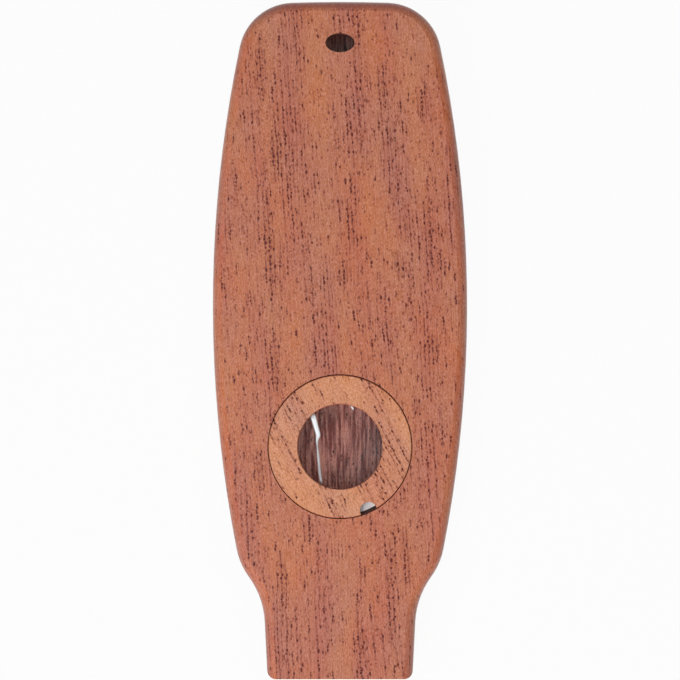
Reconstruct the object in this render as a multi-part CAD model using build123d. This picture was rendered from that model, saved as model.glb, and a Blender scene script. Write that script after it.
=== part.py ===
from build123d import *
from math import asin, cos, radians, sin, sqrt
import os

# A flat wooden kazoo of three glued boards, with a buzzing film held under a ring that lifts out.
# It lies on its back: +Z points up out of the front, and +Y runs from the mouth end to the far end.
# The origin is the middle of the back face. Lengths are in millimetres and angles in degrees.

# Outline of the boards, seen from the front
length = 110.0
width = 41.4
belly_from_mouth = 60.6
side_bow_radius = 205.0
far_end_bow_radius = 240.0
far_corner_radius = 9.0
shoulder_from_mouth = 21.0
shoulder_radius = 11.4
neck_radius = 13.6
neck_taper = 2.9
mouth_width = 23.6
mouth_corner_radius = 1.4
edge_radius = 2.4
edge_sanding = 0.15

# Boards, from the back up, and the wall that the middle one leaves round the air chamber
back_thickness = 3.5
frame_thickness = 5.0
front_thickness = 4.5
chamber_wall = 4.0

# Oval air outlet in the front board
outlet_from_far_end = 6.8
outlet_across = 4.75
outlet_along = 3.1

# Ring that holds the film down, flush with the front
ring_diameter = 23.2
ring_band = 4.7
ring_thickness = 2.4
ring_clearance = 0.15
ring_edge_break = 0.12
notch_radius = 1.4
notch_inset = 0.25
notch_angle = -66.0

# Film seat in the front board, and the film and steel washer that lie in it under the ring
seat_from_mouth = 37.7
seat_bore_step = 0.3
film_inset = 0.6
film_thickness = 0.1
keeper_inset = 0.4
keeper_bore_step = 0.6
keeper_thickness = 0.5

# Disc magnets let into the underside of the ring
magnet_count = 4
magnet_diameter = 3.0
magnet_thickness = 1.5
magnet_clearance = 0.05

# How far a cut runs past the face that it opens
overrun = 2.0

# Sizes and places that follow from these
ring_bore = ring_diameter - 2 * ring_band
seat_diameter = ring_diameter + 2 * ring_clearance
seat_bore = ring_bore + 2 * seat_bore_step
film_diameter = ring_diameter - 2 * film_inset
keeper_diameter = ring_diameter - 2 * keeper_inset
keeper_bore = ring_bore + 2 * keeper_bore_step
mouth_y = -length / 2
far_y = length / 2
belly_y = mouth_y + belly_from_mouth
outlet_y = far_y - outlet_from_far_end
seat_y = mouth_y + seat_from_mouth
frame_z = back_thickness
front_z = frame_z + frame_thickness
face_z = front_z + front_thickness
ring_z = face_z - ring_thickness
film_z = ring_z - film_thickness
keeper_z = film_z - keeper_thickness


def crossing(centre_a, radius_a, centre_b, radius_b):
    """The point where two circles cross, the one nearer the far end."""
    apart = centre_b - centre_a
    along = (radius_a**2 - radius_b**2 + apart.length**2) / (2 * apart.length)
    aside = sqrt(radius_a**2 - along**2)
    direction = apart.normalized()
    square = Vector(-direction.Y, direction.X)
    middle = centre_a + direction * along
    return max(middle + square * aside, middle - square * aside, key=lambda point: point.Y)


def neck_directions():
    """Up the right side of the neck, and square to it outwards."""
    taper = radians(neck_taper)
    return Vector(sin(taper), cos(taper)), Vector(cos(taper), -sin(taper))


def arc_centres():
    """Centres of the arcs down the right side: far end, corner, side, shoulder and neck."""
    far_end = Vector(0, far_y - far_end_bow_radius)
    side = Vector(width / 2 - side_bow_radius, belly_y)
    corner = crossing(
        far_end, far_end_bow_radius - far_corner_radius, side, side_bow_radius - far_corner_radius
    )
    turn = asin((belly_from_mouth - shoulder_from_mouth) / side_bow_radius)
    shoulder = side + Vector(cos(turn), -sin(turn)) * (side_bow_radius - shoulder_radius)
    # The neck's hollow touches the round of the shoulder and the straight side of the neck.
    up, out = neck_directions()
    reach = Vector(mouth_width / 2, mouth_y) + out * neck_radius - shoulder
    climb = up.dot(reach)
    neck = shoulder + reach
    neck -= up * (climb + sqrt(climb**2 - reach.dot(reach) + (shoulder_radius + neck_radius) ** 2))
    return far_end, corner, side, shoulder, neck


def outline(inset, run_on):
    """The boards' outline, moved in by inset, with the neck run on past the mouth end."""
    far_end, corner, side, shoulder, neck = arc_centres()
    up, out = neck_directions()
    neck_top = neck - out * (neck_radius + inset)
    neck_foot = neck_top - up * ((neck_top.Y - mouth_y + run_on) / up.Y)
    points = [
        corner + (corner - far_end).normalized() * (far_corner_radius - inset),
        corner + (corner - side).normalized() * (far_corner_radius - inset),
        shoulder + (shoulder - side).normalized() * (shoulder_radius - inset),
        shoulder + (neck - shoulder).normalized() * (shoulder_radius - inset),
        neck_top,
    ]
    top = ThreePointArc((-points[0].X, points[0].Y), (0, far_y - inset), points[0])
    arcs = [top]
    for point in points[1:]:
        arcs.append(TangentArc(arcs[-1] @ 1, point, tangent=arcs[-1] % 1))
    right = Curve() + arcs[1:] + Line(neck_top, neck_foot)
    mouth = Line((-neck_foot.X, neck_foot.Y), neck_foot)
    return make_face(top + right + mirror(right, about=Plane.YZ) + mouth)


def board(low, high):
    """A square-edged board of the finished outline, with the two corners of the mouth eased."""
    square = outline(inset=0, run_on=0)
    eased = fillet(square.vertices().group_by(Axis.Y)[0], mouth_corner_radius)
    return Pos(0, 0, low) * extrude(eased, high - low)


def rounded_block():
    """The three boards as one block, rounded along the sides and far end and too long at the mouth."""
    # The edges are rounded before the faces are sanded down, so the rounding meets them in a soft line.
    thick = extrude(outline(inset=0, run_on=edge_radius + overrun), face_z + 2 * edge_sanding)
    block = Pos(0, 0, -edge_sanding) * thick
    top = block.faces().sort_by(Axis.Z)[-1].edges().sort_by(Axis.Y)[1:]
    bottom = block.faces().sort_by(Axis.Z)[0].edges().sort_by(Axis.Y)[1:]
    return fillet(top + bottom, edge_radius)


def disc(diameter, low, high):
    """A disc on the axis of the film seat, between two heights."""
    return Pos(0, seat_y, low) * extrude(Circle(diameter / 2), high - low)


def front_plate():
    """Front board, with the stepped film seat and the oval air outlet."""
    plate = board(front_z, face_z) & rounded_block()
    plate -= disc(seat_diameter, keeper_z, face_z + overrun)
    plate -= disc(seat_bore, front_z - overrun, keeper_z + overrun)
    oval = extrude(Ellipse(outlet_across / 2, outlet_along / 2), front_thickness + 2 * overrun)
    return plate - Pos(0, outlet_y, front_z - overrun) * oval


def side_frame():
    """Middle board, a U round the air chamber that is open at the mouth end."""
    chamber = extrude(outline(inset=chamber_wall, run_on=overrun), frame_thickness + 2 * overrun)
    return board(frame_z, front_z) - Pos(0, 0, frame_z - overrun) * chamber


def back_plate():
    """Back board, plain and rounded along its lower edge."""
    return board(0, frame_z) & rounded_block()


def keeper_ring():
    """Steel washer glued to the step of the film seat."""
    return disc(keeper_diameter, keeper_z, film_z) - disc(keeper_bore, keeper_z - overrun, film_z + overrun)


def membrane():
    """Film disc that lies on the washer."""
    return disc(film_diameter, film_z, ring_z)


def magnet_places():
    """Centres of the magnets, evenly round the ring with the notch midway between two of them."""
    radius = (ring_diameter + ring_bore) / 4
    step = 360 / magnet_count
    return PolarLocations(radius, magnet_count, start_angle=notch_angle + step / 2)


def retaining_ring():
    """Wooden ring with a finger notch in its rim and magnet pockets in its underside."""
    ring = disc(ring_diameter, ring_z, face_z) - disc(ring_bore, ring_z - overrun, face_z + overrun)
    ring = chamfer(ring.edges().group_by(Axis.Z)[-1], ring_edge_break)
    rim = Location((0, seat_y, ring_z - overrun), (0, 0, notch_angle))
    rim *= Pos(ring_diameter / 2 - notch_inset, 0, 0)
    ring -= rim * extrude(Circle(notch_radius), ring_thickness + 2 * overrun)
    pocket = extrude(Circle(magnet_diameter / 2 + magnet_clearance), magnet_thickness + overrun)
    for place in magnet_places():
        ring -= Pos(0, seat_y, ring_z - overrun) * place * pocket
    return ring


def ring_magnets():
    """Disc magnets, each flush with the ring's underside."""
    magnet = extrude(Circle(magnet_diameter / 2), magnet_thickness)
    return [Pos(0, seat_y, ring_z) * place * magnet for place in magnet_places()]


pieces = {
    "front_plate": front_plate(),
    "side_frame": side_frame(),
    "back_plate": back_plate(),
    "keeper_ring": keeper_ring(),
    "membrane": membrane(),
    "retaining_ring": retaining_ring(),
}
for number, magnet in enumerate(ring_magnets(), start=1):
    pieces[f"ring_magnet_{number}"] = magnet

os.makedirs("parts", exist_ok=True)
for name, piece in pieces.items():
    export_step(piece, f"parts/{name}.step")
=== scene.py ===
# %% [markdown]
# # A flat wooden kazoo
# The kazoo is three glued boards with a flat air chamber between them. A clear film buzzes in a round
# window near the mouth end, held down by a wooden ring that lifts out. The solids come from CAD and stay
# where they are, so this lesson adds only what CAD can't say: how the wood, steel and film look, and how
# a slack film lies. We keep the size of the CAD model from the start.

# %% Load the solids
import math

import bmesh
import bpy
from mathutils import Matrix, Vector


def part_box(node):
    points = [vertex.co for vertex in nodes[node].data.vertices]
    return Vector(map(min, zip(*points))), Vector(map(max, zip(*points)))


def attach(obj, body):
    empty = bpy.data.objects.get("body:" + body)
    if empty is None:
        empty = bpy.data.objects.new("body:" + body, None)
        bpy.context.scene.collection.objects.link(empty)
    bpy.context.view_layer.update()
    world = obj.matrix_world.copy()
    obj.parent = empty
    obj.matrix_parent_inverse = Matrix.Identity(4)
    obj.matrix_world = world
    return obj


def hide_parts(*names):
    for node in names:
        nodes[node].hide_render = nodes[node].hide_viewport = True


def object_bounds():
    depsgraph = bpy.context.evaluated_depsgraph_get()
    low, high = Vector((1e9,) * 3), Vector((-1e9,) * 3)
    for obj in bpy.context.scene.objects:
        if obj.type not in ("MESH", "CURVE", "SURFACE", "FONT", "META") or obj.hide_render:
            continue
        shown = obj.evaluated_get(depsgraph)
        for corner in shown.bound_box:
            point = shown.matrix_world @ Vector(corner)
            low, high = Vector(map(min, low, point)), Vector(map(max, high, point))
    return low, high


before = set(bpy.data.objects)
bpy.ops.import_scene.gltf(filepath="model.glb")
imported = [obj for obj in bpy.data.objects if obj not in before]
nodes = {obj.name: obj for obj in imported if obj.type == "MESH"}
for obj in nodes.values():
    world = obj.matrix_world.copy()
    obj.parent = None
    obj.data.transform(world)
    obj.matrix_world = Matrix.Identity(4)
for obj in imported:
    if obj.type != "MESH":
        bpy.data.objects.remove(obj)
cad_low, cad_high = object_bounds()
MM = 0.001
print("solids:", ", ".join(sorted(nodes)))
print("size in mm:", [round(side / MM, 2) for side in cad_high - cad_low])

# %% [markdown]
# ## Camera
# The photograph looks straight down at the front from far enough away that the sides don't show. An
# orthographic camera would do, but a long lens gives the slight perspective of a real camera inside the
# deep window, and it works from other angles too. The picture is square, so one width fixes how far away
# it stands. The boards are widest where the rounding of the edge begins, so the width is measured at that
# height.

# %% Camera
PICTURE_WIDTH = 110.65 * MM
EDGE_DEPTH = 2.25 * MM
outline_height = cad_high.z - EDGE_DEPTH

camera_data = bpy.data.cameras.new("camera")
camera_data.sensor_width = 36.0
camera_data.lens = 200.0
camera_distance = PICTURE_WIDTH * camera_data.lens / camera_data.sensor_width
camera = bpy.data.objects.new("camera", camera_data)
camera.location = (0, 0, outline_height + camera_distance)
bpy.context.scene.collection.objects.link(camera)
bpy.context.scene.camera = camera
bpy.context.scene.view_settings.view_transform = "Standard"
print(f"camera {camera_distance / MM:.0f} mm above the outline")

# %% [markdown]
# ## One way to make nodes
# Every material below is a small graph of shader nodes. One function adds a node, sets its properties,
# and then sets each input or links it if the value is another node's output. Colours are written as the
# sRGB hex values that a colour picker shows, and one function turns them into the linear numbers that
# Blender calculates with.

# %% Nodes and colours
def add(tree, kind, inputs=(), **settings):
    """Add one shader node with its settings and inputs, and return its outputs."""
    made = tree.nodes.new("ShaderNode" + kind)
    for name, value in settings.items():
        setattr(made, name, value)
    for socket, value in dict(inputs).items():
        if isinstance(value, bpy.types.NodeSocket):
            tree.links.new(value, made.inputs[socket])
        else:
            made.inputs[socket].default_value = value
    return made.outputs


def linear(hex_colour):
    """An sRGB hex colour as linear red, green, blue and alpha."""
    parts = [int(hex_colour[start : start + 2], 16) / 255 for start in (1, 3, 5)]
    return [*(p / 12.92 if p < 0.04045 else ((p + 0.055) / 1.055) ** 2.4 for p in parts), 1.0]


def empty_tree(holder):
    """The node tree of a material or world, emptied."""
    holder.use_nodes = True
    holder.node_tree.nodes.clear()
    return holder.node_tree


print("mid grey is", round(linear("#808080")[0], 3), "in linear light")

# %% [markdown]
# ## Light
# In the photograph the rounded edge at the far end is darkest, the right edge less so, and the left edge
# is as light as the face. So the softbox stands at the mouth end, a little to the left. It stands too low
# to shine on the floor of the deep window, which the white room lights from overhead. A small reflector
# card, high on the left, puts the glint on the steel in the ring's notch. Only shiny surfaces see the
# card, because on the wood it would act as a second lamp.

# %% Softbox and card
LIGHT_DISTANCE = 0.9


def softbox(name, side, watts, rise, turn):
    """A square lamp aimed at the kazoo, rise degrees up and turn degrees from the mouth end to the left."""
    rise, turn = math.radians(rise), math.radians(turn)
    flat = math.cos(rise)
    direction = Vector((-math.sin(turn) * flat, -math.cos(turn) * flat, math.sin(rise)))
    data = bpy.data.lights.new(name, "AREA")
    data.size = side
    data.energy = watts
    lamp = bpy.data.objects.new(name, data)
    lamp.location = direction * LIGHT_DISTANCE
    lamp.rotation_mode = "QUATERNION"
    lamp.rotation_quaternion = direction.to_track_quat("Z", "Y")
    bpy.context.scene.collection.objects.link(lamp)
    print(name, "at", [round(x, 2) for x in lamp.location])
    return lamp


softbox("side_softbox", side=0.3, watts=4.9, rise=36, turn=22)
card = softbox("reflector_card", side=0.18, watts=1.5, rise=74, turn=72)
card.visible_diffuse = False

# %% [markdown]
# ## White room
# The background of the photograph is plain white. More light would bleach the wood, so the world is white
# only to rays from the camera. Rays that a shiny or clear surface sends on see pale walls, a dim patch
# straight overhead, where the camera hangs, and a dim wall on the right. Clear film that lies face up
# mirrors that patch, so it looks clear and not milky. What the room gives as light comes mostly from
# overhead, and a little more from the mouth end.

# %% White room
# Upward is 1 straight overhead and 0 at the horizon. Each pair says where one level turns into the next.
OVERHEAD = (0.8, 0.95)
ROOM_LIGHT = (0.04, 2.6)
ROOM_SLANT = 0.08
CEILING = (0.965, 0.988)
WALLS_SHOWN = 0.9
CEILING_SHOWN = 0.08
RIGHT_WALL = (0.2, 0.8)
RIGHT_WALL_SHARE = 0.3
room = bpy.data.worlds.new("white_room")
bpy.context.scene.world = room
tree = empty_tree(room)
direction = add(tree, "TexCoord")["Generated"]
axes = add(tree, "SeparateXYZ", {0: direction})
upward = axes["Z"]

dimmed = {0: upward, 1: CEILING[0], 2: CEILING[1], 3: WALLS_SHOWN, 4: CEILING_SHOWN}
shown = add(tree, "MapRange", dimmed)[0]
dimmed = {0: axes["X"], 1: RIGHT_WALL[0], 2: RIGHT_WALL[1], 3: 1.0, 4: RIGHT_WALL_SHARE}
shown = add(tree, "Math", {0: shown, 1: add(tree, "MapRange", dimmed)[0]}, operation="MULTIPLY")[0]

bright_side = (0, -ROOM_SLANT, 0)
slant = add(tree, "VectorMath", {0: direction, 1: bright_side}, operation="DOT_PRODUCT")["Value"]
level = {0: upward, 1: OVERHEAD[0], 2: OVERHEAD[1], 3: ROOM_LIGHT[0], 4: ROOM_LIGHT[1]}
given = add(tree, "Math", {0: slant, 1: add(tree, "MapRange", level)[0]}, operation="ADD")[0]
given = add(tree, "Math", {0: given, 1: 0.0}, operation="MAXIMUM")[0]

path = add(tree, "LightPath")
sent_on = {0: path["Is Glossy Ray"], 1: path["Is Transmission Ray"]}
mirrored = add(tree, "Math", sent_on, operation="MAXIMUM")[0]
strength = add(tree, "Mix", {0: mirrored, 2: given, 3: shown})[0]
strength = add(tree, "Mix", {0: path["Is Camera Ray"], 2: strength, 3: 1.0})[0]
backdrop = add(tree, "Background", {"Color": linear("#FFFFFF"), "Strength": strength})[0]
add(tree, "OutputWorld", {"Surface": backdrop})
print("room gives", ROOM_LIGHT[0], "from the walls and", ROOM_LIGHT[1], "from overhead")

# %% [markdown]
# ## Floor
# The floor is matt white paper. To the camera, and in mirrors, most of it glows white like the
# background, so that no horizon shows. The rest is a plain matt surface under the lights, and on that the
# kazoo keeps a soft shadow. To light that bounces it is grey paper, which throws less light up under the
# rounded edges.

# %% White floor
FLOOR_SIDE = 4.0
FLOOR_GAP = 0.05 * MM
FLOOR_WHITE = 0.95
half = FLOOR_SIDE / 2
corners = [(-half, -half, 0), (half, -half, 0), (half, half, 0), (-half, half, 0)]
floor_mesh = bpy.data.meshes.new("floor")
floor_mesh.from_pydata(corners, [], [(0, 1, 2, 3)])
floor = bpy.data.objects.new("floor", floor_mesh)
floor.location.z = cad_low.z - FLOOR_GAP
bpy.context.scene.collection.objects.link(floor)

paper = bpy.data.materials.new("matt_white_paper")
tree = empty_tree(paper)
path = add(tree, "LightPath")
seen = add(tree, "Math", {0: path["Is Camera Ray"], 1: path["Is Glossy Ray"]}, operation="ADD")[0]
seen = add(tree, "Math", {0: seen, 1: path["Is Transmission Ray"]}, operation="ADD", use_clamp=True)[0]
share = add(tree, "Math", {0: seen, 1: FLOOR_WHITE}, operation="MULTIPLY")[0]
matt = add(tree, "BsdfDiffuse", {"Color": linear("#C8C8C8")})[0]
white = add(tree, "Emission", {"Color": linear("#FFFFFF"), "Strength": 1.0})[0]
add(tree, "OutputMaterial", {"Surface": add(tree, "MixShader", {0: share, 1: matt, 2: white})[0]})
floor_mesh.materials.append(paper)
print("floor of", FLOOR_SIDE, "m")

# %% [markdown]
# ## Grain
# Wood is a bundle of fibres, so its pattern is drawn in millimetres along and across the grain, in three
# dimensions. A face along the grain then shows long streaks and a cut end shows dots, as on a real board,
# which a flat image can't do. Fibres wander from side to side by a millimetre or so, and noise moves the
# pattern by that much. A board sawn across the growth rings has them as layers through its thickness, so
# a streak may be several times as deep as it is wide. Each wood gets its own place in the pattern, so no
# two look alike.

# %% Grain
WANDER = 2.2
WANDER_ACROSS = 9
WANDER_ALONG = 30
# Most of a noise texture lies between these values.
NOISE_SPAN = {1: 0.3, 2: 0.7}


def grain_space(tree, lean, plank):
    """Millimetres with Y along the grain, which leans by an angle and wanders a little."""
    place = add(tree, "TexCoord")["Object"]
    turn = (0, 0, math.radians(-lean))
    scale = (1 / MM, 1 / MM, 1 / MM)
    straight = add(tree, "Mapping", {0: place, "Location": plank, "Rotation": turn, "Scale": scale})[0]
    shrink = (1 / WANDER_ACROSS, 1 / WANDER_ALONG, 1 / WANDER_ACROSS)
    slow = add(tree, "VectorMath", {0: straight, 1: shrink}, operation="MULTIPLY")[0]
    wander = add(tree, "TexNoise", {"Vector": slow, "Scale": 1.0, "Detail": 3.0})["Color"]
    aside = add(tree, "VectorMath", {0: wander, 1: (0.5, 0.5, 0.5)}, operation="SUBTRACT")[0]
    return add(tree, "VectorMath", {0: aside, 1: (WANDER, 0, 0), 2: straight}, operation="MULTIPLY_ADD")[0]


def streaks(tree, space, across, along, detail=2.0, layers=1.0):
    """Noise drawn out in streaks of about this many millimetres, each layers times as deep as it is wide."""
    shrink = (1 / across, 1 / along, 1 / (layers * across))
    drawn = add(tree, "VectorMath", {0: space, 1: shrink}, operation="MULTIPLY")[0]
    return add(tree, "TexNoise", {"Vector": drawn, "Scale": 1.0, "Detail": detail})["Fac"]


print("grain wanders by up to", WANDER / 2, "mm each way in", WANDER_ALONG, "mm")

# %% [markdown]
# ## Pores
# Mahogany-type woods have large vessels. Where the saw has cut along one, it shows as a dark thread with
# dots on it, like beads on a string, open for a few millimetres at a time. Spots scattered freely would
# look like pepper, so the pattern starts from lines: space is cut into thin rods along the grain, and
# white noise gives each rod its own numbers. The rod's size goes into the noise too, or two sizes of pore
# would share numbers and pair up. A cut end shows the same vessels as dots.

# %% Rods along the grain
# Share of a rod's width by which its pore may stand off the middle, across and in depth.
ROD_JITTER = (0.3, 0, 0.16)


def rods_along(tree, space, rod_size, half_width):
    """Each rod's own numbers, the place across it in half widths of its pore, and the place along it."""
    # A board's face is at height 0 in its grain, and half a rod puts it in the middle of a layer of rods.
    moved = add(tree, "VectorMath", {0: space, 1: (0, 0, rod_size / 2)}, operation="ADD")[0]
    rods = add(tree, "VectorMath", {0: moved, 1: (1 / rod_size, 0, 1 / rod_size)}, operation="MULTIPLY")[0]
    rod = add(tree, "VectorMath", {0: rods}, operation="FLOOR")[0]
    chance = add(tree, "TexWhiteNoise", {"Vector": rod, "W": rod_size}, noise_dimensions="4D")["Color"]
    middle = (0.5 + ROD_JITTER[0] / 2, 0, 0.5 + ROD_JITTER[2] / 2)
    across = add(tree, "VectorMath", {0: rods, 1: rod}, operation="SUBTRACT")[0]
    across = add(tree, "VectorMath", {0: chance, 1: ROD_JITTER, 2: across}, operation="MULTIPLY_ADD")[0]
    across = add(tree, "VectorMath", {0: across, 1: middle}, operation="SUBTRACT")[0]
    across = add(tree, "VectorMath", {0: across, 1: (rod_size / half_width,) * 3}, operation="MULTIPLY")[0]
    numbers = add(tree, "SeparateColor", {0: chance})
    return numbers, across, add(tree, "SeparateXYZ", {0: moved})["Y"]


print("a pore stands off its rod's middle by up to", ROD_JITTER[0] / 2, "of the rod")

# %% [markdown]
# ## Beads
# Along a rod, a one-dimensional Voronoi texture sets the beads. Each rod has its own pitch, and each bead
# its own length, size and darkness, and it lies a little off the line. Voronoi cuts beads that meet with
# a straight line, which looks like the rung of a ladder, so a thin wall with soft sides is left between
# them.

# %% Beads
BEAD_PITCH = (0.42, 1.1)
BEAD_SIZE = (0.65, 1.2)
BEAD_ASIDE = 0.7
BEAD_EDGE = (1.15, 0.65)
WALL_SHARE = 0.12
# A bead's own number: below the first it doesn't show, and above the second it is fully dark.
BEAD_DARKNESS = {1: 0.1, 2: 0.62}
# Far apart in the pattern, so that neighbouring rods have nothing in common.
ROD_STEP = 97.0


def beads(tree, numbers, across, along, half_lengths):
    """A mask of dark beads along the middle of each rod."""
    pitch = add(tree, "MapRange", {0: numbers["Red"], 3: BEAD_PITCH[0], 4: BEAD_PITCH[1]})[0]
    place = add(tree, "Math", {0: along, 1: pitch}, operation="DIVIDE")[0]
    place = add(tree, "Math", {0: numbers["Green"], 1: ROD_STEP, 2: place}, operation="MULTIPLY_ADD")[0]
    line = {"W": place, "Scale": 1.0, "Randomness": 1.0}
    bead = add(tree, "TexVoronoi", line, voronoi_dimensions="1D")
    each = add(tree, "SeparateColor", {0: bead["Color"]})
    half_length = add(tree, "MapRange", {0: each["Red"], 3: half_lengths[0], 4: half_lengths[1]})[0]
    reach = add(tree, "Math", {0: bead["Distance"], 1: pitch}, operation="MULTIPLY")[0]
    reach = add(tree, "Math", {0: reach, 1: half_length}, operation="DIVIDE")[0]
    aside = add(tree, "MapRange", {0: each["Blue"], 3: -BEAD_ASIDE, 4: BEAD_ASIDE})[0]
    offset = add(tree, "CombineXYZ", {0: aside, 1: reach})[0]
    offset = add(tree, "VectorMath", {0: across, 1: offset}, operation="ADD")[0]
    far = add(tree, "VectorMath", {0: offset}, operation="LENGTH")["Value"]
    size = add(tree, "MapRange", {0: each["Green"], 3: BEAD_SIZE[0], 4: BEAD_SIZE[1]})[0]
    far = add(tree, "Math", {0: far, 1: size}, operation="DIVIDE")[0]
    edge = {0: far, 1: BEAD_EDGE[0], 2: BEAD_EDGE[1]}
    dot = add(tree, "MapRange", edge, interpolation_type="SMOOTHSTEP")[0]
    wall = add(tree, "TexVoronoi", line, voronoi_dimensions="1D", feature="DISTANCE_TO_EDGE")[0]
    wall = add(tree, "MapRange", {0: wall, 1: 0.0, 2: WALL_SHARE}, interpolation_type="SMOOTHSTEP")[0]
    dot = add(tree, "Math", {0: dot, 1: wall}, operation="MULTIPLY")[0]
    darkness = add(tree, "MapRange", {0: each["Green"], **BEAD_DARKNESS})[0]
    return add(tree, "Math", {0: dot, 1: darkness}, operation="MULTIPLY")[0]


print("beads", BEAD_PITCH[0], "to", BEAD_PITCH[1], "mm apart")

# %% [markdown]
# ## Open vessels
# A vessel leaves and enters the face as the grain wanders, so it is open only in stretches. A
# one-dimensional noise along each rod says where. The share of the rods that is open is added to it, and
# raising that share opens more of them and makes each stretch longer. A faint thread joins the beads of
# an open stretch.

# %% Open vessels
OPEN_EDGE = (0.64, 0.82)
SHARE_WEIGHT = 0.44
STRETCH_STEP = 41.0
THREAD_EDGE = (0.9, 0.3)


def pores(tree, space, share, rod_size, half_width, half_lengths, open_length):
    """Masks of the beads and of the threads that join them. Share is how much of the rods is open."""
    numbers, across, along = rods_along(tree, space, rod_size, half_width)
    slow = add(tree, "Math", {0: along, 1: 1 / open_length}, operation="MULTIPLY")[0]
    slow = add(tree, "Math", {0: numbers["Blue"], 1: STRETCH_STEP, 2: slow}, operation="MULTIPLY_ADD")[0]
    noise = add(tree, "TexNoise", {"W": slow, "Scale": 1.0, "Detail": 1.0}, noise_dimensions="1D")["Fac"]
    noise = add(tree, "Math", {0: share, 1: SHARE_WEIGHT, 2: noise}, operation="MULTIPLY_ADD")[0]
    open_here = add(tree, "MapRange", {0: noise, 1: OPEN_EDGE[0], 2: OPEN_EDGE[1]})[0]
    dark = beads(tree, numbers, across, along, half_lengths)
    dark = add(tree, "Math", {0: dark, 1: open_here}, operation="MULTIPLY")[0]
    aside = add(tree, "VectorMath", {0: across}, operation="LENGTH")["Value"]
    edge = {0: aside, 1: THREAD_EDGE[0], 2: THREAD_EDGE[1]}
    thread = add(tree, "MapRange", edge, interpolation_type="SMOOTHSTEP")[0]
    # Multiplied twice, the thread fades sooner than the beads at the ends of a stretch.
    for _ in range(2):
        thread = add(tree, "Math", {0: thread, 1: open_here}, operation="MULTIPLY")[0]
    return dark, thread


print("a vessel opens where noise and share come above", OPEN_EDGE[0])

# %% [markdown]
# ## Where the pores gather
# The dashes aren't spread evenly. They gather in narrow tracks along the grain, and the tracks in loose
# bands, where the tree grew faster. Two streaky noises give that. The front of this kazoo also has some
# bold tracks that the eye goes to first, so the front board gets those one by one: the middle of each, its
# length and its lean.

# %% Pore tracks
# Across, along, length in millimetres, and lean in degrees.
BOLD_TRACKS = [
    (-12.9, 44.1, 12.7, 2),
    (6.8, 41.0, 9.6, 2),
    (13.3, 38.0, 6.4, 3),
    (-10.5, 30.9, 10.0, 1),
    (14.3, 17.4, 12.3, 5),
    (11.1, 18.7, 6.7, 6),
    (1.6, 19.2, 9.6, 5),
    (-11.4, 14.7, 22.6, 3),
    (9.7, 11.9, 5.7, 5),
    (0.4, 10.6, 5.4, 5),
    (15.2, -1.6, 6.2, 8),
    (-10.5, -4.0, 11.2, 2),
    (12.5, -11.0, 3.9, 2),
    (-13.1, -21.4, 9.0, 3),
    (-5.2, -30.8, 5.4, 4),
    (10.7, -35.1, 10.6, 3),
    (8.4, -36.5, 11.5, 0),
    (-9.4, -39.5, 12.0, 2),
    (8.4, -44.9, 12.0, 1),
    (3.7, -49.4, 5.0, 3),
]
BOLD_HALF_WIDTH = 0.95 * MM
BOLD_EDGE = (1.15, 0.6)
# Size of the fine tracks in millimetres, and the levels of noise between which a track or a band begins.
TRACK = (0.6, 20)
TRACK_SPAN = {1: 0.4, 2: 0.6, 3: 0.05}
BAND_SPAN = {1: 0.25, 2: 0.8}


def bold_tracks(tree, tracks):
    """1 in the middle of the listed tracks, 0 outside."""
    place = add(tree, "TexCoord")["Object"]
    nearest = None
    for across, along, length, lean in tracks:
        middle = (across * MM, along * MM, 0)
        reach = (BOLD_HALF_WIDTH, length / 2 * MM, 1.0)
        turn = (0, 0, math.radians(lean))
        settings = {0: place, "Location": middle, "Rotation": turn, "Scale": reach}
        local = add(tree, "Mapping", settings, vector_type="TEXTURE")[0]
        far = add(tree, "VectorMath", {0: local}, operation="LENGTH")["Value"]
        nearest = far if nearest is None else add(tree, "Math", {0: far, 1: nearest}, operation="MINIMUM")[0]
    edge = {0: nearest, 1: BOLD_EDGE[0], 2: BOLD_EDGE[1]}
    return add(tree, "MapRange", edge, interpolation_type="SMOOTHSTEP")[0]


def pore_share(tree, band, space, few, most):
    """How much of the rods is open: most in tracks, the tracks in bands, and few elsewhere."""
    track = add(tree, "MapRange", {0: streaks(tree, space, *TRACK), **TRACK_SPAN})[0]
    gather = add(tree, "MapRange", {0: band, **BAND_SPAN})[0]
    both = add(tree, "Math", {0: track, 1: gather}, operation="MULTIPLY")[0]
    return add(tree, "MapRange", {0: both, 3: few, 4: most})[0]


print(len(BOLD_TRACKS), "bold tracks on the front")

# %% [markdown]
# ## Heartwood
# Between its pores the wood is broad bands of two heartwood tones, with fine fibre and short flecks over
# them. Pale fibres have less colour as well as more light, so one mask drives both. Oil that is rubbed in
# by hand doesn't soak in evenly, so some wide patches stay duller: a little darker, greyer and less
# shiny.

# %% Heartwood
# Sizes across and along the grain, in millimetres.
FIBRE = (0.22, 2.4)
FLECK = (0.16, 0.42)
DULL_PATCH = (7.0, 16.0)
FLECK_SPAN = {1: 0.25, 2: 0.75}
FIBRE_WEIGHT = 0.45
TEXTURE_SPAN = {1: 0.33, 2: 1.12}
LIGHTNESS = (0.86, 1.2)
COLOURFUL = (1.13, 0.93)
DULL_DARKER = -0.08
DULL_GREYER = -0.1


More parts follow.
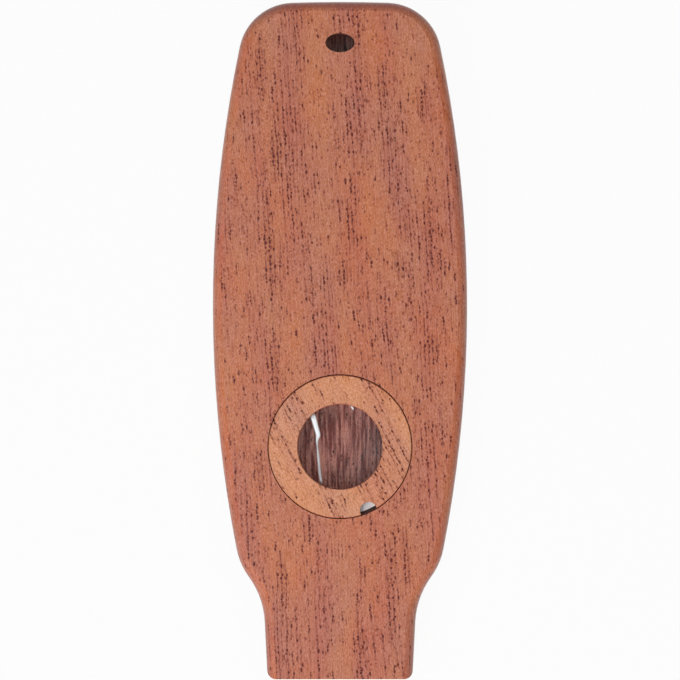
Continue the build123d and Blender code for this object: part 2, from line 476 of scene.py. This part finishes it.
def heartwood(tree, space, bands, pale, pored):
    """Colour of the wood between its pores, and masks of its bands, fibre, texture and dull patches."""
    across, along, layers, soft = bands
    band = streaks(tree, space, across, along, 3.0, layers)
    band = add(tree, "MapRange", {0: band, 1: 0.5 - soft, 2: 0.5 + soft})[0]
    colour = add(tree, "Mix", {0: band, 6: pale, 7: pored}, data_type="RGBA")[2]
    fibre = add(tree, "MapRange", {0: streaks(tree, space, *FIBRE, 3.0), **NOISE_SPAN})[0]
    fleck = add(tree, "MapRange", {0: streaks(tree, space, *FLECK), **FLECK_SPAN})[0]
    texture = add(tree, "Math", {0: fibre, 1: FIBRE_WEIGHT, 2: fleck}, operation="MULTIPLY_ADD")[0]
    texture = add(tree, "MapRange", {0: texture, **TEXTURE_SPAN})[0]
    dull = add(tree, "MapRange", {0: streaks(tree, space, *DULL_PATCH), **NOISE_SPAN})[0]
    light = add(tree, "MapRange", {0: texture, 3: LIGHTNESS[0], 4: LIGHTNESS[1]})[0]
    light = add(tree, "Math", {0: dull, 1: DULL_DARKER, 2: light}, operation="MULTIPLY_ADD")[0]
    depth = add(tree, "MapRange", {0: texture, 3: COLOURFUL[0], 4: COLOURFUL[1]})[0]
    depth = add(tree, "Math", {0: dull, 1: DULL_GREYER, 2: depth}, operation="MULTIPLY_ADD")[0]
    colour = add(tree, "HueSaturation", {"Saturation": depth, "Value": light, "Color": colour})[0]
    return colour, band, fibre, texture, dull


print("fibre", FIBRE, "and flecks", FLECK, "mm across and along")

# %% [markdown]
# ## Filled pores
# Oil and dust fill the pores, so they are dark. There are two sizes: fine specks, spread more widely, and
# deep pores, which stand close in the tracks and have threads. The wood around close pores is stained a
# little too, like a halo. Such pores are 0.1 to 0.2 mm wide, too fine for the picture, so they are drawn
# about twice as wide.

# %% Filled pores
# Sizes in millimetres. The two sizes of rod differ, so that specks and pores don't line up.
SPECKS = {"rod_size": 0.61, "half_width": 0.14, "half_lengths": (0.14, 0.4), "open_length": 2.4}
DEEP_PORES = {"rod_size": 0.69, "half_width": 0.16, "half_lengths": (0.18, 0.5), "open_length": 3.2}
HALO = 0.16
SPECK_STAIN = 0.9
THREAD_STAIN = 0.5
SPECKS_IN_TRACKS = 0.8


def fill_pores(tree, space, colour, share, specked, shallow_tone, deep_tone):
    """The colour with pores in it, and a mask of the deep ones. Specked is the share of specks elsewhere."""
    fine = add(tree, "Math", {0: share, 1: SPECKS_IN_TRACKS, 2: specked}, operation="MULTIPLY_ADD")[0]
    specks, _ = pores(tree, space, fine, **SPECKS)
    deep, threads = pores(tree, space, share, **DEEP_PORES)
    for mask, stain in ((share, HALO), (specks, SPECK_STAIN), (threads, THREAD_STAIN)):
        stained = add(tree, "Math", {0: mask, 1: stain}, operation="MULTIPLY")[0]
        colour = add(tree, "Mix", {0: stained, 6: colour, 7: shallow_tone}, data_type="RGBA")[2]
    return add(tree, "Mix", {0: deep, 6: colour, 7: deep_tone}, data_type="RGBA")[2], deep


print("specks", 2 * SPECKS["half_width"], "and pores", 2 * DEEP_PORES["half_width"], "mm wide")

# %% [markdown]
# ## Worked faces
# What was done to a face shows in its colour, and some shade is painted in with it. Cut ends drink more
# oil and turn darker. Their darker, bluer tone also stands for the shade and grey reflection on the far
# rounded edge, so it is partly painted shade and painted reflection. The walls of the round and oval holes
# are browned by the cutter that made them. The step of the seat gets the same dark tone as painted shade,
# which shows as a dark line round the washer. Where two boards meet on an upright side, there is a thin
# dark line of glue.

# %% Worked faces
# Tone for faces that look along the length: end grain that drinks more oil, and also painted shade and
# painted grey reflection on the far rounded edge.
END_GRAIN_AND_SHADE = "#E2CBD8"
CUT_END_EDGE = (0.3, 0.8)
# Tone of the walls of holes browned by the cutter, and of the painted shade on the seat's step.
BROWNED_AND_SHADE = "#5E3024"
BROWNED_SHARE = 0.6
# The upward part of a face's normal: 0 on an upright wall and 1 on a level face.
WALL_SPAN = {1: 0.6, 2: 0.2}
SIDE_SPAN = {1: 0.3, 2: 0.1}
LEVEL = 0.8
washer_low, washer_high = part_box("keeper_ring")
SEAT = (washer_low + washer_high) / 2
STEP_TOP = washer_low.z + 0.2 * MM
OUTLET = Vector((0.0, 48.2 * MM, 0.0))
GLUE_HALF_WIDTHS = (0.13 * MM, 0.05 * MM)
GLUE_SHARE = 0.75


def browned_walls_and_shaded_step(tree, upward, holes):
    """How dark a face is painted: the upright walls of holes, each a middle and a reach, browned by the
    cutter, and the seat's step, painted as shade.
    """
    place = add(tree, "TexCoord")["Object"]
    walls = None
    for middle, reach in holes:
        local = add(tree, "VectorMath", {0: place, 1: middle}, operation="SUBTRACT")[0]
        flat = add(tree, "VectorMath", {0: local, 1: (1, 1, 0)}, operation="MULTIPLY")[0]
        far = add(tree, "VectorMath", {0: flat}, operation="LENGTH")["Value"]
        near = add(tree, "Math", {0: far, 1: reach}, operation="LESS_THAN")[0]
        walls = near if walls is None else add(tree, "Math", {0: near, 1: walls}, operation="MAXIMUM")[0]
    upright = add(tree, "Math", {0: upward}, operation="ABSOLUTE")[0]
    upright = add(tree, "MapRange", {0: upright, **WALL_SPAN, 4: BROWNED_SHARE})[0]
    walls = add(tree, "Math", {0: walls, 1: upright}, operation="MULTIPLY")[0]
    # The seat's step is painted dark as shade, which shows as a dark line round the washer.
    height = add(tree, "SeparateXYZ", {0: place})["Z"]
    step = add(tree, "Math", {0: height, 1: STEP_TOP}, operation="LESS_THAN")[0]
    level = add(tree, "Math", {0: upward, 1: LEVEL}, operation="GREATER_THAN")[0]
    step = add(tree, "Math", {0: step, 1: level}, operation="MULTIPLY")[0]
    return add(tree, "Math", {0: walls, 1: step}, operation="MAXIMUM")[0]


def glue_line(tree, upward, joint):
    """A thin line at the height of a joint, on upright faces."""
    height = add(tree, "SeparateXYZ", {0: add(tree, "TexCoord")["Object"]})["Z"]
    far = add(tree, "Math", {0: height, 1: joint}, operation="SUBTRACT")[0]
    far = add(tree, "Math", {0: far}, operation="ABSOLUTE")[0]
    line = {0: far, 1: GLUE_HALF_WIDTHS[0], 2: GLUE_HALF_WIDTHS[1], 4: GLUE_SHARE}
    line = add(tree, "MapRange", line)[0]
    upright = add(tree, "Math", {0: upward}, operation="ABSOLUTE")[0]
    upright = add(tree, "MapRange", {0: upright, **SIDE_SPAN})[0]
    return add(tree, "Math", {0: line, 1: upright}, operation="MULTIPLY")[0]


print("seat at", [round(x / MM, 1) for x in SEAT], "mm")

# %% [markdown]
# ## Bare floor
# Only the outside of such an instrument is oiled. The floor of the air chamber stays bare, and bare wood
# is much paler. The gain is more than that: it is also painted light, which brightens a floor that lies in
# shade. Near the mouth, where light comes in, the floor gets less of it. One mask says which faces get the
# gain, from the way they look and how far they are from the mouth end.

# %% Bare floor
# The gain is bare paleness and painted light on the shaded chamber floor. It is smaller near the mouth, where
# light comes in.
BARE_AND_LIGHT_GAIN = 2.4
MOUTH_LIGHT_STRETCH = (-48 * MM, -30 * MM)
MOUTH_LIGHT_SHARE = 0.2
FLOOR_SPAN = {1: 0.5, 2: LEVEL}


def bare_floor_and_painted_light(tree, upward):
    """Bare paleness and painted light: 1 on faces that look up, the chamber's floor and the glued faces, less
    near the mouth.
    """
    level = add(tree, "MapRange", {0: upward, **FLOOR_SPAN})[0]
    along = add(tree, "SeparateXYZ", {0: add(tree, "TexCoord")["Object"]})["Y"]
    away_from_mouth = add(tree, "MapRange", {0: along, 1: MOUTH_LIGHT_STRETCH[0], 2: MOUTH_LIGHT_STRETCH[1], 3: MOUTH_LIGHT_SHARE, 4: 1.0})[0]
    return add(tree, "Math", {0: level, 1: away_from_mouth}, operation="MULTIPLY")[0]


# The gain printed here is bare paleness and painted light together.
print("bare wood is", BARE_AND_LIGHT_GAIN, "times as light as oiled")

# %% [markdown]
# ## Oiled wood
# Now the wood is put together as the eye meets it: heartwood, pores, then the worked faces. Rubbed oil
# leaves wood with a satin surface, rough about 0.5, at the refractive index of an oil film, 1.5. Most of
# the shine is in the thin coat of wax on top, so the gloss of the wood below it is weak. The pores are a
# little hollow, so they and the fibre go into the bump, with a depth in hundredths of a millimetre.

# %% Oiled wood
BOLD_SHARE = 1.25
ROUGHNESS = (0.51, 0.4)
DULL_ROUGHER = 0.12
PORE_ROUGHER = 0.25
PORE_HOLLOW = -1.5
BUMP_DEPTH = 0.02 * MM
WAX = {"Specular IOR Level": 0.1, "Coat Weight": 0.8, "Coat Roughness": 0.2, "Coat IOR": 1.45}


def oiled_wood(name, tones, bands, lean, plank, open_pores, tracks=(), holes=(), glue=(), bare_and_brightened=False):
    """A wood material, with sizes in millimetres.

    Tones are hex colours: pale band, pored band, shallow pore and deep pore. Bands are their size across and
    along the grain, how many times as deep they are, and how softly they change. Lean is the grain's angle,
    and plank its place in the pattern. Open pores are the share between tracks, in tracks, and of specks.
    Tracks and holes are listed above, glue holds the heights of joints in metres, and the last flag marks the
    chamber wood, which is made paler as bare wood and as painted light.
    """
    material = bpy.data.materials.new(name)
    tree = empty_tree(material)
    pale, pored, shallow_tone, deep_tone = (linear(tone) for tone in tones)
    space = grain_space(tree, lean, plank)
    colour, band, fibre, texture, dull = heartwood(tree, space, bands, pale, pored)

    few, most, specked = open_pores
    share = pore_share(tree, band, space, few, most)
    if tracks:
        bold = add(tree, "Math", {0: bold_tracks(tree, tracks), 1: BOLD_SHARE}, operation="MULTIPLY")[0]
        share = add(tree, "Math", {0: share, 1: bold}, operation="MAXIMUM")[0]
    colour, deep = fill_pores(tree, space, colour, share, specked, shallow_tone, deep_tone)

    normal = add(tree, "SeparateXYZ", {0: add(tree, "NewGeometry")["Normal"]})
    # The cut-end tone, partly end grain and partly painted shade and reflection, goes on faces that look
    # along the length.
    end = add(tree, "Math", {0: normal["Y"]}, operation="ABSOLUTE")[0]
    edge = {0: end, 1: CUT_END_EDGE[0], 2: CUT_END_EDGE[1]}
    end = add(tree, "MapRange", edge, interpolation_type="SMOOTHSTEP")[0]
    end_grain_and_shade = {0: end, 6: colour, 7: linear(END_GRAIN_AND_SHADE)}
    colour = add(tree, "Mix", end_grain_and_shade, data_type="RGBA", blend_type="MULTIPLY")[2]
    # Browned hole walls, and painted shade on the seat's step.
    if holes:
        walls = browned_walls_and_shaded_step(tree, normal["Z"], holes)
        colour = add(tree, "Mix", {0: walls, 6: colour, 7: linear(BROWNED_AND_SHADE)}, data_type="RGBA")[2]
    # The chamber floor is made paler: bare wood, and painted light in its shade.
    if bare_and_brightened:
        gain = add(tree, "MapRange", {0: bare_floor_and_painted_light(tree, normal["Z"]), 3: 1.0, 4: BARE_AND_LIGHT_GAIN})[0]
        colour = add(tree, "HueSaturation", {"Value": gain, "Color": colour})[0]
    for joint in glue:
        line = glue_line(tree, normal["Z"], joint)
        colour = add(tree, "Mix", {0: line, 6: colour, 7: deep_tone}, data_type="RGBA")[2]

    rough = add(tree, "MapRange", {0: fibre, 3: ROUGHNESS[0], 4: ROUGHNESS[1]})[0]
    rough = add(tree, "Math", {0: dull, 1: DULL_ROUGHER, 2: rough}, operation="MULTIPLY_ADD")[0]
    rough = add(tree, "Math", {0: deep, 1: PORE_ROUGHER, 2: rough}, operation="MULTIPLY_ADD")[0]
    hollow = add(tree, "Math", {0: deep, 1: PORE_HOLLOW, 2: texture}, operation="MULTIPLY_ADD")[0]
    bump = add(tree, "Bump", {"Height": hollow, "Distance": BUMP_DEPTH, "Strength": 1.0})[0]
    surface = {"Base Color": colour, "Roughness": rough, "IOR": 1.5, "Normal": bump, **WAX}
    add(tree, "OutputMaterial", {"Surface": add(tree, "BsdfPrincipled", surface)[0]})
    print(name, "has", len(tree.nodes), "nodes")
    return material


# %% [markdown]
# ## Front board
# The front is a reddish mahogany-type wood such as sapele, planed, sanded along the grain and oiled. Oil
# deepens it to a warm brown-orange with pinker bands, where most of the pores are. The walls of its
# window and of its oval hole are browned by the cutter.

# %% Front board
frame_low, frame_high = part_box("side_frame")
WINDOW_HOLE = (SEAT, 8.0 * MM)
OUTLET_HOLE = (OUTLET, 3.5 * MM)
sapele = oiled_wood(
    "oiled_sapele",
    tones=("#C4744B", "#BC6951", "#8B3A2B", "#611D15"),
    bands=(5.0, 24, 4.0, 0.2),
    lean=3.5,
    plank=(13, 40, -cad_high.z / MM),
    open_pores=(0.14, 1.05, 0.29),
    tracks=BOLD_TRACKS,
    holes=(WINDOW_HOLE, OUTLET_HOLE),
    glue=(frame_high.z,),
)
nodes["front_plate"].data.materials[0] = sapele

# %% [markdown]
# ## Ring
# The ring was cut from a paler piece of the same kind of wood, and it went in turned, so its grain leans
# to the left by about 26 degrees. Only the wall of its bore is browned.

# %% Ring
pale_sapele = oiled_wood(
    "oiled_pale_sapele",
    tones=("#D48C60", "#CC8362", "#954628", "#5C1F12"),
    bands=(3.2, 34, 4.0, 0.14),
    lean=26,
    plank=(71, 12, -cad_high.z / MM),
    open_pores=(0.15, 0.95, 0.22),
    holes=(WINDOW_HOLE,),
)
nodes["retaining_ring"].data.materials[0] = pale_sapele

# %% [markdown]
# ## Back and middle boards
# Through the window the floor of the air chamber shows darker, purplish wood with close streaks, like
# walnut. The middle board isn't seen in the photograph, and is taken to be of the same stock. Both were
# planed and sanded, and the outside was oiled, which turns walnut a blackish brown with a satin shine.

# %% Back and middle boards
walnut = oiled_wood(
    "oiled_walnut",
    tones=("#8F594C", "#591A10", "#42140C", "#2B0D09"),
    bands=(0.5, 6, 1.0, 0.1),
    lean=0,
    plank=(5, 90, -frame_low.z / MM),
    open_pores=(0.15, 0.55, 0.25),
    glue=(frame_low.z, frame_high.z),
    bare_and_brightened=True,
)
for board in ("side_frame", "back_plate"):
    nodes[board].data.materials[0] = walnut

# %% [markdown]
# ## Steel washer and magnets
# The ring is held by small magnets that pull on a thin steel washer. The washer was punched from
# cold-rolled sheet and brushed, so it has fine lines and a soft, broad shine, rough about 0.5. Nickel
# plate on the magnets is smoother and a little warmer, with fine tumbling marks. Both are bare metal, so
# they are fully metallic and keep the default refractive index.

# %% Steel and nickel
MARKS_ROUGHER = 0.06


def bare_metal(name, tones, roughness, across, along, depth):
    """A metal with fine marks of this size and depth in millimetres. Tones are two hex colours."""
    material = bpy.data.materials.new(name)
    tree = empty_tree(material)
    place = add(tree, "TexCoord")["Object"]
    space = add(tree, "VectorMath", {0: place, 1: (1 / MM, 1 / MM, 1 / MM)}, operation="MULTIPLY")[0]
    marks = add(tree, "MapRange", {0: streaks(tree, space, across, along, 3.0), **NOISE_SPAN})[0]
    low, high = (linear(tone) for tone in tones)
    colour = add(tree, "Mix", {0: marks, 6: low, 7: high}, data_type="RGBA")[2]
    span = {0: marks, 3: roughness + MARKS_ROUGHER, 4: roughness - MARKS_ROUGHER}
    rough = add(tree, "MapRange", span)[0]
    bump = add(tree, "Bump", {"Height": marks, "Distance": depth * MM, "Strength": 1.0})[0]
    surface = {"Base Color": colour, "Metallic": 1.0, "Roughness": rough, "Normal": bump}
    add(tree, "OutputMaterial", {"Surface": add(tree, "BsdfPrincipled", surface)[0]})
    print(name, "has marks", across, "by", along, "mm")
    return material


# Real brush lines are a few hundredths of a millimetre wide, too fine for the picture, so these are coarser.
steel = bare_metal("brushed_steel", ("#DAD8D8", "#E4E2E2"), 0.53, 0.12, 6.0, 0.0006)
nickel = bare_metal("nickel_plate", ("#CFC7BC", "#DDD6CC"), 0.2, 0.25, 0.6, 0.001)
nodes["keeper_ring"].data.materials[0] = steel
for number in range(1, 5):
    nodes[f"ring_magnet_{number}"].data.materials[0] = nickel

# %% [markdown]
# ## Film
# The film is a disc cut from clear plastic sheet, laid on the washer and clamped under the ring. CAD has
# it as a flat disc, but the real one is slack and has a sharp crease, which shows as a white line down
# the left of the window. A cloth simulation wouldn't put the crease there, so the sheet is built in rows.
# Each row runs from rim to rim, with its own points across the crease, and only the part in the window
# leaves the flat.

# %% Film rows
# Points of the crease from the window's middle: across, along and half width in millimetres, and whiteness.
CREASE = [
    (-6.3, 11.0, 0.5, 1.0),
    (-4.5, 5.3, 0.5, 1.0),
    (-3.52, 1.8, 0.42, 1.0),
    (-3.75, 1.0, 0.24, 0.7),
    (-3.69, 0.1, 0.15, 0.4),
    (-3.56, -1.4, 0.23, 0.5),
    (-3.31, -4.3, 0.27, 0.6),
    (-3.0, -6.2, 0.2, 0.8),
    (-2.2, -11.0, 0.2, 0.8),
]
# Places of a row's points across the crease, in half widths. The outer two stand on the flat film.
FOLD_PLACES = (-1.3, -1, -0.5, 0, 0.5, 1, 1.3)
LEFT_STEPS = 10
RIGHT_STEPS = 22
# Near the ends of the disc the rows are short, and there the crease keeps to these shares of a row's half.
CREASE_WIDTH_SHARE = 0.2
CREASE_REACH_SHARE = 0.7
film_low, film_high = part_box("membrane")
film_middle = (film_low + film_high) / 2
film_radius = (film_high.x - film_low.x) / 2


def crease_at(along):
    """Across and half width of the crease in metres at a distance along the film, and its whiteness."""
    for (x0, y0, w0, c0), (x1, y1, w1, c1) in zip(CREASE, CREASE[1:]):
        if along >= y1 * MM:
            share = min(1.0, (y0 * MM - along) / ((y0 - y1) * MM))
            return (x0 + (x1 - x0) * share) * MM, (w0 + (w1 - w0) * share) * MM, c0 + (c1 - c0) * share
    x1, _, w1, c1 = CREASE[-1]
    return x1 * MM, w1 * MM, c1


def film_row(along):
    """Points of one row: across, height of the crease there from 0 to 1, and 1 if it is on the crease."""
    reach = math.sqrt(max(0.0, film_radius**2 - along**2))
    across, half_width, _ = crease_at(along)
    half_width = min(half_width, CREASE_WIDTH_SHARE * reach)
    across = max(across, -CREASE_REACH_SHARE * reach)
    fold = [(across + half_width * place, max(0.0, 1 - abs(place)), 1.0) for place in FOLD_PLACES]
    left_step = (fold[0][0] + reach) / LEFT_STEPS
    right_step = (reach - fold[-1][0]) / RIGHT_STEPS
    left = [(-reach + left_step * step, 0.0, 0.0) for step in range(LEFT_STEPS)]
    right = [(reach - right_step * step, 0.0, 0.0) for step in reversed(range(RIGHT_STEPS))]
    return left + fold + right


print(f"film {2 * film_radius / MM:.1f} mm across, {len(film_row(0))} points in a row")

# %% Film points
WINDOW_RADIUS = 6.9 * MM
WINDOW_MARGIN = 1.6 * MM
FILM_THICKNESS = 0.06 * MM
FOLD_HEIGHT = 0.2 * MM
SLACK_HEIGHT = 0.06 * MM
SLACK_ACROSS = 1.9 * MM
SLACK_ALONG = 4.2 * MM
SLACK_LEAN = 0.35
ROWS = 84


def in_window(across, along):
    """1 well inside the window and 0 under the ring."""
    share = (WINDOW_RADIUS - math.hypot(across, along)) / WINDOW_MARGIN
    share = min(1.0, max(0.0, share))
    return share * share * (3 - 2 * share)


film_form = bmesh.new()
white_crease_and_glint = film_form.verts.layers.float.new("white_crease_and_glint")
crumpled = film_form.verts.layers.float.new("crumpled")
rows = []
for number in range(1, ROWS):
    along = film_radius * math.cos(math.pi * number / ROWS)
    row = []
    for across, fold, on_crease in film_row(along):
        free = in_window(across, along)
        slack = math.sin((across + SLACK_LEAN * along) / SLACK_ACROSS) * math.cos(along / SLACK_ALONG)
        height = free * (FOLD_HEIGHT * fold + SLACK_HEIGHT * slack)
        vert = film_form.verts.new(film_middle + Vector((across, along, height)))
        # The crease is painted white: stress whitening of the plastic, and a painted highlight of light
        # glinting on the fold.
        vert[white_crease_and_glint] = crease_at(along)[2] * min(1.0, 2 * fold) * min(1.0, 4 * free)
        vert[crumpled] = on_crease
        row.append(vert)
    rows.append(row)
print(len(rows), "rows, with a fold", FOLD_HEIGHT / MM, "mm high")

# %% Film faces
for upper, lower in zip(rows, rows[1:]):
    for a, b, c, d in zip(upper, lower, lower[1:], upper[1:]):
        film_form.faces.new((a, b, c, d))
for row, end in ((rows[0], 1), (rows[-1], -1)):
    tip = film_form.verts.new(film_middle + Vector((0, end * film_radius, 0)))
    for a, b in zip(row, row[1:]):
        film_form.faces.new((a, b, tip) if end > 0 else (b, a, tip))
for face in film_form.faces:
    face.smooth = True
film_mesh = bpy.data.meshes.new("creased_film")
film_form.to_mesh(film_mesh)
film_form.free()
film = bpy.data.objects.new("creased_film", film_mesh)
bpy.context.scene.collection.objects.link(film)
thicken = film.modifiers.new("thickness", "SOLIDIFY")
thicken.thickness = FILM_THICKNESS
thicken.offset = 0.0
print("film has", len(film_mesh.vertices), "points before it is thickened")

# %% [markdown]
# ## Clear film
# Cast polypropylene film is clear and glossy with a refractive index of 1.49, so it mirrors a little of
# the room and lets the rest through. A Fresnel node mixes a mirror into a see-through surface, which also
# lets light into the chamber. Rays go straight through this sheet, so only its outside faces mirror: from
# within, a slanting ray would count as trapped, and the film would turn into a dark mirror. Along the fold
# the film is painted white, for plastic whitened by folding and as a painted highlight of light glinting
# on the crease, and beside the fold it is too crumpled to mirror. Faint streaks, more of them on the right,
# are a painted sheen, and a short white spark near the window's upper rim is a painted glint.

# %% White places on the film
# A painted sheen: faint pale streaks, more on the right of the window, stand for light reflected in the film.
SHEEN_STREAK = (0.8, 5.0)
SHEEN_SPAN = {1: 0.3, 2: 0.75, 4: 0.022}
SHEEN_SIDE = {1: 0.5, 2: 4.0, 3: 0.1, 4: 1.0}
# A painted glint: a short white spark near the window's upper rim.
GLINT_SPOT = SEAT + Vector((2.0 * MM, 6.25 * MM, 0))
GLINT_LEAN = 35
GLINT_HALVES = (0.16 * MM, 0.42 * MM, 1.0)
GLINT_EDGE = {1: 1.0, 2: 0.5}
clear_film = bpy.data.materials.new("polypropylene_film")
tree = empty_tree(clear_film)
place = add(tree, "TexCoord")["Object"]
space = add(tree, "VectorMath", {0: place, 1: (1 / MM, 1 / MM, 1 / MM)}, operation="MULTIPLY")[0]
painted_sheen = streaks(tree, space, *SHEEN_STREAK, 3.0)
painted_sheen = add(tree, "MapRange", {0: painted_sheen, **SHEEN_SPAN})[0]
across = add(tree, "SeparateXYZ", {0: space})["X"]
right = add(tree, "MapRange", {0: across, **SHEEN_SIDE}, interpolation_type="SMOOTHSTEP")[0]
painted_sheen = add(tree, "Math", {0: painted_sheen, 1: right}, operation="MULTIPLY")[0]
# The white crease, partly stress whitening and partly a painted highlight.
white_line = add(tree, "Attribute", attribute_name="white_crease_and_glint")["Fac"]
white_marks_and_sheen = add(tree, "Math", {0: painted_sheen, 1: white_line}, operation="MAXIMUM")[0]
# The painted glint is a small white ellipse.
turn = (0, 0, math.radians(GLINT_LEAN))
glint_spot_settings = {0: place, "Location": (GLINT_SPOT.x, GLINT_SPOT.y, 0), "Rotation": turn, "Scale": GLINT_HALVES}
local = add(tree, "Mapping", glint_spot_settings, vector_type="TEXTURE")[0]
far = add(tree, "VectorMath", {0: local}, operation="LENGTH")["Value"]
spark = add(tree, "MapRange", {0: far, **GLINT_EDGE})[0]
white_marks_and_sheen = add(tree, "Math", {0: white_marks_and_sheen, 1: spark}, operation="MAXIMUM")[0]
# The smears and nick printed here are the painted sheen and the painted glint.
print("painted_sheen", SHEEN_STREAK, "mm across and along, and one nick")

# %% Clear film
FILM_IOR = 1.49
clear = add(tree, "BsdfTransparent", {"Color": linear("#FFFFFF")})[0]
mirror = add(tree, "BsdfGlossy", {"Color": linear("#FFFFFF"), "Roughness": 0.06})[0]
gloss = add(tree, "Fresnel", {"IOR": FILM_IOR})[0]
inside = add(tree, "NewGeometry")["Backfacing"]
beside_fold = add(tree, "Attribute", attribute_name="crumpled")["Fac"]
for without in (inside, beside_fold):
    kept = add(tree, "Math", {0: 1.0, 1: without}, operation="SUBTRACT")[0]
    gloss = add(tree, "Math", {0: gloss, 1: kept}, operation="MULTIPLY")[0]
glossy = add(tree, "MixShader", {0: gloss, 1: clear, 2: mirror})[0]
scatter = {"Base Color": linear("#EEF1F4"), "Roughness": 0.35, "IOR": FILM_IOR}
scatter = add(tree, "BsdfPrincipled", scatter)[0]
# The white surface shows the painted sheen, the painted glint and the white crease.
add(tree, "OutputMaterial", {"Surface": add(tree, "MixShader", {0: white_marks_and_sheen, 1: glossy, 2: scatter})[0]})
film_mesh.materials.append(clear_film)
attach(film, "film")
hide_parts("membrane")
print("film rides on the body film")
